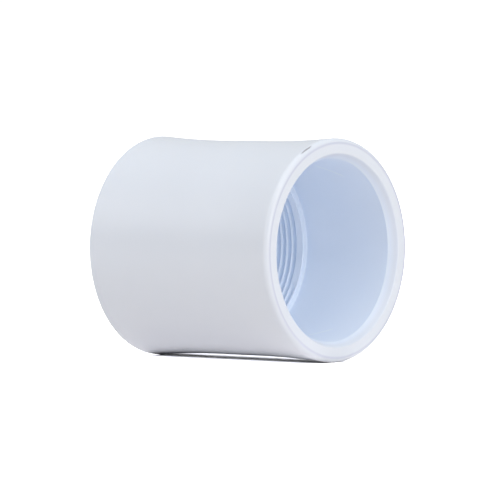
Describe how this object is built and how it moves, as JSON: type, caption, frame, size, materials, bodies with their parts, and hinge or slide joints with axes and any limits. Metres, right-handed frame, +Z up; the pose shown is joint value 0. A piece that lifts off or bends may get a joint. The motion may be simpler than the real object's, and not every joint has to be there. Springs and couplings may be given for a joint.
{
  "type": "pipe adapter",
  "caption": "White PVC pipe adapter: a plain round barrel with a solvent-cement pipe socket at one end and an internal pipe thread at the other.",
  "frame": {"origin": "on the bore axis, in the plane of the socket mouth", "axes": "+X along the bore axis, out of the socket mouth; +Z up, with the fitting lying on its side"},
  "size_m": [0.0769, 0.074, 0.074],
  "materials": {
    "white_pvc": "smooth semi-gloss moulded PVC, cool white"
  },
  "bodies": {
    "root": {"adapter_body": "white_pvc"}
  },
  "joints": []
}
